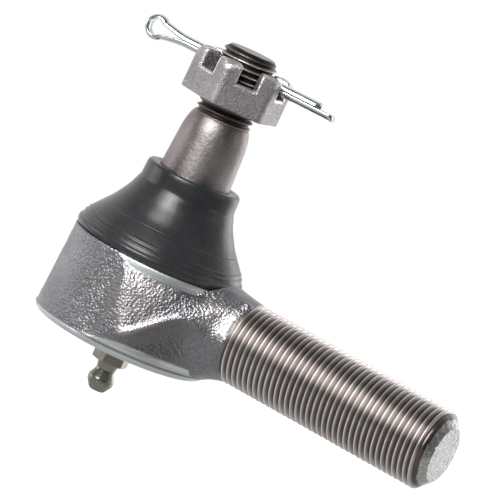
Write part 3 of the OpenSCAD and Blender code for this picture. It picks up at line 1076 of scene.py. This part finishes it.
def plain_steel(name, dark, light, size, roughness, stretch=(1, 1, 1)):
    """Steel for the pieces inside: tone, roughness and fine marks all vary."""
    look = Look(name, Metallic=1.0)
    cloud, marks = look.grain(6, 4), look.grain(size, 3, stretch)
    colour = look.mix(look.spread(cloud, 0.3, 0.7), dark, light)
    colour = look.mix(look.spread(marks, 0.4, 0.25), colour, [c * 0.6 for c in dark])
    rough = look.spread(marks, 0.3, 0.7, roughness + 0.08, roughness - 0.06)
    look.bump(marks, 0.02)
    return look.done(colour, rough)


def seat_polymer():
    look = Look("seat_polymer", Specular_IOR_Level=0.5)
    cloud, fine = look.grain(8, 3), look.grain(0.3, 3)
    colour = look.mix(look.spread(cloud, 0.3, 0.7), (0.72, 0.69, 0.60), (0.80, 0.78, 0.70))
    look.bump(fine, 0.02)
    return look.done(colour, look.spread(fine, 0.3, 0.7, 0.42, 0.55))


SMOOTH_NODES = {"upper_ball_seat", "lower_ball_seat", "grease_fitting_ball", "boot_neck_ring"}
MATERIALS = {
    "forged_steel": forged_steel(),
    "turned_steel": turned_steel(),
    "nut_steel": nut_steel(),
    "zinc_wire": zinc_wire(),
    "plated_fitting": plated_fitting(),
    "boot_rubber": boot_rubber(),
    "seat_polymer": seat_polymer(),
}
for name, *values in (
        ("cover_steel", (0.42, 0.42, 0.44), (0.56, 0.56, 0.58), 0.5, 0.34),
        ("spring_steel", (0.16, 0.17, 0.2), (0.24, 0.25, 0.29), 0.3, 0.36, (30, 30, 1)),
        ("bearing_steel", (0.62, 0.62, 0.64), (0.7, 0.7, 0.72), 0.2, 0.14),
        ("ring_steel", (0.44, 0.44, 0.46), (0.55, 0.55, 0.57), 0.2, 0.3, (30, 30, 1))):
    MATERIALS[name] = plain_steel(name, *values)

# ---- the pieces


def housing_looks(points):
    """Where each finish of the housing shows, by name, with its painted highlight, painted shade and
    painted shadow line, and how far its skin stands out in millimetres.
    """
    x, y, z = points.T
    radius_z, radius_x = np.hypot(x, y), np.hypot(y, z)
    threaded = ease(x, SHANK_THREAD_START + 0.6, SHANK_THREAD_START + 1.2) * (radius_x < SHANK_R + 0.05)
    threaded = threaded * (x < SHANK_THREAD_END + 1.5)
    band_z, turned_z = rim_top(x), band_floor(x, radius_z)
    machined = ease(z, turned_z - 0.1, turned_z + 0.25) * (radius_z < TURNED_R + 0.2)
    machined = np.maximum(1 - ease(z, band_z - 0.1, band_z + 0.25), machined)
    machined = np.maximum(machined, radius_z < BORE_R + 0.3) * (x < 23)
    end = ease(x, SHANK_THREAD_END + 0.4, SHANK_THREAD_END + 1)
    above = z - ridge_height(x)
    # painted shade below the parting ridge, weaker along the neck
    shade = ease(-above, -0.2, 1.5) * ease(x, 6.0, 14.0) * (1 - 0.7 * ease(x, 19.0, 24.0))
    # painted highlight on the parting ridge's lip, as a glint on the flank and on the neck's upper facets
    lip = np.exp(-(((above - 0.5) / 0.9) ** 2)) * ease(x, 7.5, 10.0) * (1 - ease(x, 13.0, 18.5))
    glint = ease(x, 3.5, 8.5) * (1 - ease(x, 11.0, 17.0)) * ease(above, 0.0, 9.0)
    corner = np.degrees(np.arctan2(np.abs(y), z))
    facet = ease(corner, 50, 58) * (1 - ease(corner, 80, 88)) * ease(x, 19.5, 21.5)
    painted_highlight = np.maximum(np.maximum(lip, 0.5 * glint), 0.6 * facet) * (x > 0)
    looks = {
        "machined": machined,
        "threaded": threaded,
        "shade": shade * (1 - machined),
        "painted_highlight": painted_highlight * (1 - machined),
        "end": end,
        # painted shadow line round the rim near its foot
        "painted_shadow_line": np.exp(-(((z - RIM_Z - SHADOW_LINE_RISE) / 0.25) ** 2)) * (radius_z > RIM_R - 1.5),
        "groove": np.clip((SHANK_R - radius_x) / SHANK_THREAD_DEPTH, 0, 1) * threaded,
    }
    forged = (1 - machined) * (1 - ease(x, NECK_END_X - 1.5, NECK_END_X - 0.2)) * (radius_z > BORE_R + 0.6)
    relief = forged_relief(points) * forged + (0.07 * noise(points, 0.9, 31) - 0.1) * end
    return looks, relief * (1 - ease(np.abs(y), RIM_R - 0.4, RIM_R - 0.1))


def stud_looks(points):
    """Where the stud's thread and its grooves show, with the grooves' share raised below the nut as painted
    shade under it.
    """
    x, y, z = points.T
    threaded = ease(z, STUD_RELIEF_Z - 0.5, STUD_RELIEF_Z) * (z < STUD_TOP - 0.05)
    groove = np.clip((STUD_R - np.hypot(x, y)) / STUD_THREAD_DEPTH, 0, 1)
    # painted shade: the thread below the nut is darkened as if in the nut's shadow
    return {"threaded": threaded, "groove": np.maximum(groove, 0.5 * (z < NUT_LOW[2] + 1)) * threaded}


def nut_edge_highlight(points):
    """1 on the nut's outer edges, where its surface bends outward and the material paints a highlight, and
    0 elsewhere.
    """
    local = turned(points - np.array([0, 0, NUT_LOW[2]]), -PIN_TURN)
    reach = 0.35
    bend = sum(nut_distance(local + step) + nut_distance(local - step) for step in reach * np.eye(3))
    bend = (bend - 6 * nut_distance(local)) / reach**2
    outer = np.hypot(local[:, 0], local[:, 1]) > STUD_R + 0.8
    return ease(bend + 0.12 * noise(local, 0.8, 41), 0.35, 1.2) * outer * ease(local[:, 2], 0.4, 1.4)


housing = socket_housing()
looks, relief = housing_looks(points_of(housing))
move_points(housing, points_of(housing) + normals_of(housing) * relief[:, None])
stud, nut = ball_stud(), castle_nut()
for piece, values in ((housing, looks), (stud, stud_looks(points_of(stud))),
                      (nut, {"edge": nut_edge_highlight(points_of(nut))})):
    for name, numbers in values.items():
        note(piece, name, numbers)

pieces = {}
for piece, body, node, slot in (
        (housing, "housing", "socket_housing", "forged_steel"),
        (stud, "stud", "ball_stud", "turned_steel"),
        (nut, "stud", "castle_nut", "nut_steel"),
        (cotter_pin(), "pin", "cotter_pin", "zinc_wire"),
        (cover_plate(), "housing", "cover_plate", "cover_steel"),
        (grease_fitting(), "housing", "grease_fitting_body", "plated_fitting"),
        (base_ring(), "housing", "boot_base_ring", "ring_steel"),
        (disc_spring(), "housing", "preload_spring", "spring_steel"),
        (check_spring(), "housing", "grease_fitting_spring", "spring_steel")):
    fit_out(piece, body, node, slot)
    pieces[node] = piece

for node, joint, still, moving in (
        ("preload_spring", "seat_travel", DISC_LOW[2], DISC_HIGH[2]),
        ("grease_fitting_spring", "check_ball_lift", COIL_HIGH[2], COIL_LOW[2])):
    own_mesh(pieces[node])

for half, bodies, span in zip(dust_boot(), (("housing", "boot"), ("boot", "boot_neck")),
                              ((BOOT_STILL_Z, BOOT_SPLIT_Z), (BOOT_SPLIT_Z, BOOT_TURNED_Z))):
    half.data.materials.append(MATERIALS["boot_rubber"])
    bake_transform(half)
    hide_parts("dust_boot")

for node in frame["nodes"].values():
    for slot in node.material_slots:
        slot.material = MATERIALS[slot.material.name.split(".")[0]]
    if node.name in SMOOTH_NODES:
        node.data.shade_smooth()

# ---- studio

VIEW_AZIMUTH, VIEW_ELEVATION, VIEW_ROLL = 23.56, 7.68, 25.23
VIEW_DISTANCE = 830.3
VIEW_AIM = (25.3, 9.06)           # from the ball's centre, right and up in the picture
LENS = 252.1
FLOOR_DROP = 90.0                 # floor below the part's lowest point
FLOOR_SIZE = 30.0
# Tilt of the line away from the key light, and across_studio's near, far, low and high along it
FLOOR_SPREAD = (0, 0.0, 0.27, 0.08, 0.85)
WORLD_SPREAD = (5, -0.25, 0.8, 0.08, 1.0)


def direction(azimuth, elevation):
    """Unit vector towards a place seen from the part. Azimuth 0 is towards -Y, and 90 towards +X."""
    a, e = math.radians(azimuth), math.radians(elevation)
    return Vector((math.sin(a) * math.cos(e), -math.cos(a) * math.cos(e), math.sin(e)))


def add_camera():
    back = direction(VIEW_AZIMUTH, VIEW_ELEVATION)
    level = (-back).cross(Vector((0, 0, 1))).normalized()
    upright = level.cross(-back)
    roll = math.radians(VIEW_ROLL)
    right = level * math.cos(roll) + upright * math.sin(roll)
    up = upright * math.cos(roll) - level * math.sin(roll)
    aim = right * VIEW_AIM[0] + up * VIEW_AIM[1]
    data = bpy.data.cameras.new("camera")
    data.lens, data.sensor_width = LENS, 36.0
    data.clip_start, data.clip_end = 0.05, 60.0
    camera = bpy.data.objects.new("camera", data)
    bpy.context.scene.collection.objects.link(camera)
    facing = Matrix((right, up, back)).transposed().to_4x4()
    camera.matrix_world = Matrix.Translation(place(aim + back * VIEW_DISTANCE)) @ facing
    bpy.context.scene.camera = camera


def softbox(name, azimuth, elevation, distance, size, radiance, spread=180.0):
    """An area light that faces the part. Distance and size are in metres and spread is in degrees."""
    data = bpy.data.lights.new(name, "AREA")
    data.shape, data.size, data.size_y = "RECTANGLE", size[0], size[1]
    half = math.radians(spread / 2)
    data.spread = 2 * half
    share = math.sin(half) ** 2 - (half - math.sin(2 * half) / 2) / math.tan(half)
    data.energy = radiance * math.pi * size[0] * size[1] * share
    light = bpy.data.objects.new(name, data)
    bpy.context.scene.collection.objects.link(light)
    light.visible_camera = False
    towards = direction(azimuth, elevation)
    light.location = Vector(place((25, 0, 10))) + towards * distance
    light.rotation_mode = "QUATERNION"
    light.rotation_quaternion = towards.to_track_quat("Z", "Y")


def across_studio(tree, where, tilt, near, far, low, high):
    """A value that rises from low to high between near and far along the line away from the key light."""
    along = tree.nodes.new("ShaderNodeVectorMath")
    along.operation = "DOT_PRODUCT"
    tree.links.new(where, along.inputs[0])
    along.inputs[1].default_value = -direction(VIEW_AZIMUTH, tilt)
    spread = tree.nodes.new("ShaderNodeMapRange")
    spread.interpolation_type = "SMOOTHSTEP"
    tree.links.new(along.outputs["Value"], spread.inputs["Value"])
    for key, value in zip(("From Min", "From Max", "To Min", "To Max"), (near, far, low, high)):
        spread.inputs[key].default_value = value
    return spread.outputs["Result"]


def glowing_floor():
    """White floor that glows, dimmer on the camera's side near the part, and whose glow meets the studio's
    at the horizon; its colour is darker near the part, a painted shade, and fades to pure glow far out.
    """
    look = Look("glowing_floor", Roughness=0.9, Specular_IOR_Level=0.0, Emission_Color=(1, 1, 1, 1))
    reach = look.add("ShaderNodeVectorMath", {0: look.where}, operation="LENGTH").outputs["Value"]
    heading = look.add("ShaderNodeVectorMath", {0: look.where}, operation="NORMALIZE").outputs["Vector"]
    near = across_studio(look.tree, look.where, *FLOOR_SPREAD)
    far = across_studio(look.tree, heading, *WORLD_SPREAD)
    # the floor glows though it is no lamp: dim on the camera's side near the part and as bright as the
    # studio far out
    glow = look.blend(look.spread(reach, 0.3, 0.8), near, far)
    look.feed(look.shader.inputs["Emission Strength"], glow)
    # painted shade: the floor's colour is darker near the part
    tone = look.spread(reach, 0.2, 0.6, 0.42, 0.88)
    return look.done(look.blend(look.spread(reach, 0.45, 0.8), tone, 0.0), 0.9)


def add_floor():
    height = cad_low[2] - FLOOR_DROP * MM
    half = FLOOR_SIZE / 2
    mesh = bpy.data.meshes.new("floor")
    corners = [(sx * half, sy * half, height) for sx, sy in ((-1, -1), (1, -1), (1, 1), (-1, 1))]
    mesh.from_pydata(corners, [], [(0, 1, 2, 3)])
    floor = bpy.data.objects.new("floor", mesh)
    bpy.context.scene.collection.objects.link(floor)
    mesh.materials.append(glowing_floor())


def add_world():
    world = bpy.data.worlds.new("studio")
    world.use_nodes = True
    background = world.node_tree.nodes["Background"]
    background.inputs["Color"].default_value = (1, 1, 1, 1)
    where = world.node_tree.nodes.new("ShaderNodeTexCoord").outputs["Generated"]
    glow = across_studio(world.node_tree, where, *WORLD_SPREAD)
    world.node_tree.links.new(glow, background.inputs["Strength"])
    bpy.context.scene.world = world


add_camera()
add_floor()
add_world()
softbox("key_over_camera", -8, 34, 0.9, (0.45, 0.65), 16.0, 70.0)
softbox("right_side", 105, 15, 0.9, (0.4, 0.3), 1.2)
softbox("left_side", -70, 0, 0.9, (0.5, 0.35), 2.0)
softbox("behind_right", 162, 6, 0.9, (0.5, 0.6), 1.6)
bpy.context.scene.view_settings.view_transform = "Standard"
